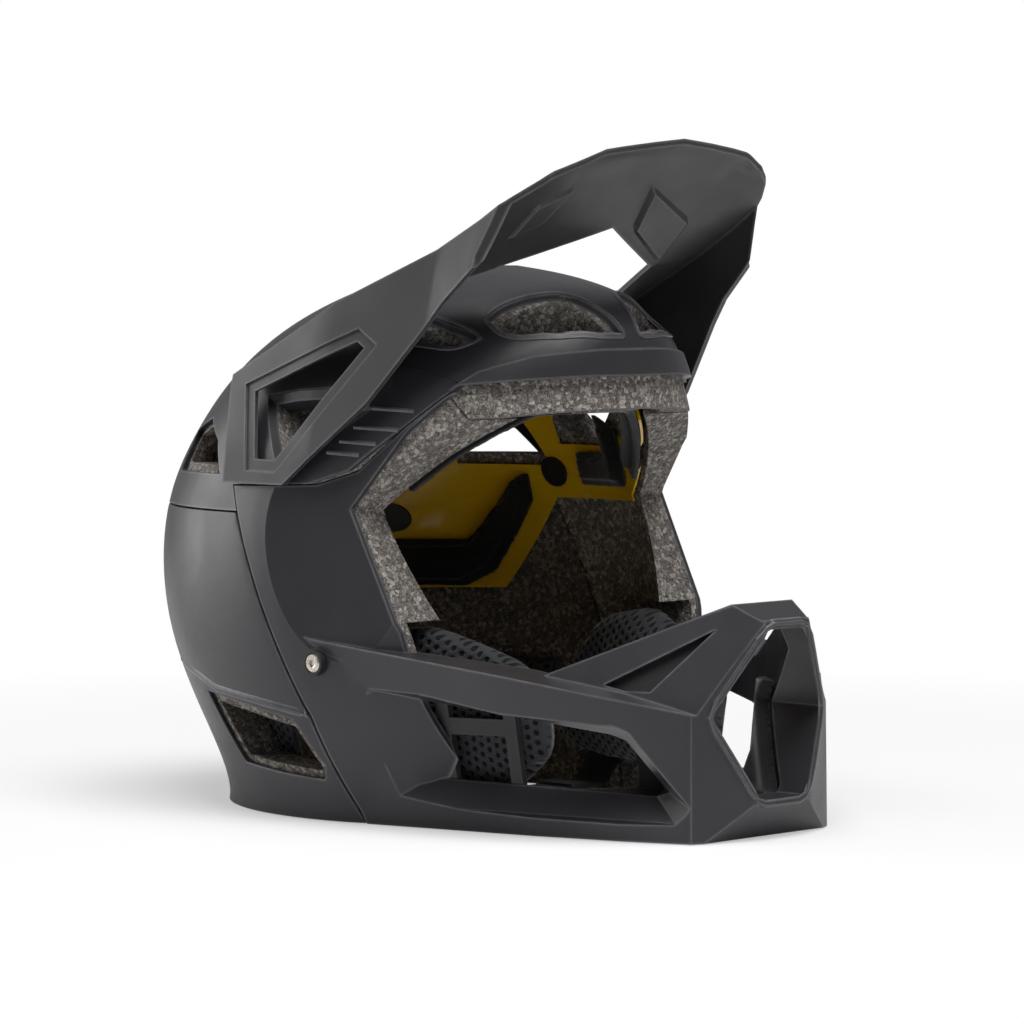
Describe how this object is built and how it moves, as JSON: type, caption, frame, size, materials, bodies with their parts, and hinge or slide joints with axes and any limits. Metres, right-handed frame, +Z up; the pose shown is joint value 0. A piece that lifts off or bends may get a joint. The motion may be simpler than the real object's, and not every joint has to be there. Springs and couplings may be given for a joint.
{
  "type": "downhill bike full face helmet",
  "caption": "Full face mountain bike helmet with a tilting visor, a chin bar with vents, a slip liner and padded cheeks.",
  "frame": {"origin": "middle of the bounding box on the surface that the base rim stands on", "axes": "+Z up, -Y the way the wearer looks, +X to the wearer's left"},
  "size_m": [0.2302, 0.3418, 0.296],
  "materials": {
    "shell": "matte moulded shell",
    "visor": "matte moulded visor",
    "foam": "speckled bead foam",
    "liner": "glossy thin liner",
    "pin": "black nylon",
    "pad": "black mesh fabric over soft foam",
    "steel": "turned steel",
    "ring": "black ring",
    "buckle": "black nylon",
    "insert": "black rubber",
    "carrier": "black nylon",
    "webbing": "black woven webbing"
  },
  "bodies": {
    "helmet": {"upper_shell": "shell", "rear_shell": "shell", "front_shell": "shell", "chin_foam": "foam", "rear_foam": "foam", "slip_liner": "liner", "liner_pins": "pin", "brow_pad": "pad", "nape_pad": "pad", "crown_pad": "pad", "chin_pad": "pad", "strap_bolts": "steel", "bolt_rings": "ring", "buckle_base": "buckle", "strap_adjuster": "buckle", "visor_pivots": "pin", "crown_foam_left": "foam", "crown_foam_right": "foam", "cheek_foam_left": "foam", "cheek_foam_right": "foam", "slot_insert_left": "insert", "slot_insert_right": "insert", "side_pad_left": "pad", "side_pad_right": "pad", "neck_pad_left": "pad", "neck_pad_right": "pad", "cheek_carrier_left": "carrier", "cheek_carrier_right": "carrier", "cheek_pad_left": "pad", "cheek_pad_right": "pad", "cheek_snaps_left": "pin", "cheek_snaps_right": "pin", "chin_strap_left": "webbing"},
    "visor": {"visor": "visor"},
    "right_strap": {"chin_strap_right": "webbing", "buckle_catch": "buckle"}
  },
  "joints": [
    {"name": "visor_tilt", "type": "hinge", "parent": "helmet", "child": "visor", "pos_m": [0, 0.05301, 0.15294], "axis": [1, 0, 0], "range_deg": [0, 8]},
    {"name": "strap_swing", "type": "hinge", "parent": "helmet", "child": "right_strap", "pos_m": [0, 0.00068, 0.07091], "axis": [1, 0, 0], "range_deg": [0, 15]}
  ]
}
